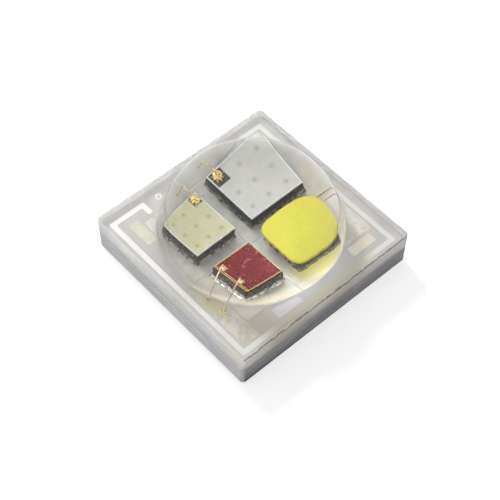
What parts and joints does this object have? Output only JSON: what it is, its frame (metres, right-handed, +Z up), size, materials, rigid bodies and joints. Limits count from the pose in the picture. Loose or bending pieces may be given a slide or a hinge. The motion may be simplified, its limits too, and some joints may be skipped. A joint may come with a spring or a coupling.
{
  "type": "ceramic high-power LED",
  "caption": "Square ceramic surface-mount LED with bare dies, bond wires and plated lands under a clear moulded dome lens, soldered to a board by flat pads underneath.",
  "frame": {"origin": "middle of the underside, on the solder pads' seating plane", "axes": "+Z up out of the dome; +X and +Y along the package's sides, with the pin-1 mark at -X, -Y"},
  "size_m": [0.005, 0.005, 0.0029],
  "materials": {
    "clear_silicone": "clear moulded silicone, glossy dome and film",
    "grey_ceramic": "matt fired ceramic with sawn edges",
    "silver_plating": "pale silver plating on copper",
    "satin_plating": "satin silver plating with a cloudy, mottled sheen",
    "die_solder": "bright solder",
    "dark_carrier": "dark sawn silicon with sparkling chips",
    "bond_pad_metal": "dark satin metal",
    "gold": "bright gold",
    "blue_emitter": "pale grey satin",
    "green_emitter": "pale straw satin",
    "red_emitter": "deep red satin",
    "white_emitter": "pale grey satin",
    "yellow_phosphor": "matt yellow phosphor in silicone"
  },
  "bodies": {
    "root": {"blue_bond_wire": "gold", "blue_die_attach": "die_solder", "blue_die_bond_pad": "bond_pad_metal", "blue_die_carrier": "dark_carrier", "blue_die_emitter": "blue_emitter", "blue_die_land": "satin_plating", "blue_wire_land": "satin_plating", "ceramic_substrate": "grey_ceramic", "frame_band": "silver_plating", "green_bond_wire": "gold", "green_die_attach": "die_solder", "green_die_bond_pad": "bond_pad_metal", "green_die_carrier": "dark_carrier", "green_die_emitter": "green_emitter", "green_die_land": "satin_plating", "green_wire_land": "satin_plating", "left_mark_bar": "silver_plating", "near_mark_bar": "silver_plating", "polarity_ring": "silver_plating", "red_bond_wire_1": "gold", "red_bond_wire_2": "gold", "red_die_attach": "die_solder", "red_die_carrier": "dark_carrier", "red_die_contact": "gold", "red_die_emitter": "red_emitter", "red_die_land": "satin_plating", "red_wire_land": "satin_plating", "right_mark_bar": "silver_plating", "silicone_lens": "clear_silicone", "solder_pad_1": "silver_plating", "solder_pad_2": "silver_plating", "solder_pad_3": "silver_plating", "solder_pad_4": "silver_plating", "solder_pad_5": "silver_plating", "solder_pad_6": "silver_plating", "solder_pad_7": "silver_plating", "solder_pad_8": "silver_plating", "thermal_pad": "silver_plating", "white_bond_wire_1": "gold", "white_bond_wire_2": "gold", "white_die_attach": "die_solder", "white_die_bond_pad": "bond_pad_metal", "white_die_carrier": "dark_carrier", "white_die_emitter": "white_emitter", "white_die_land": "satin_plating", "white_die_phosphor": "yellow_phosphor", "white_wire_land": "satin_plating"}
  },
  "joints": []
}
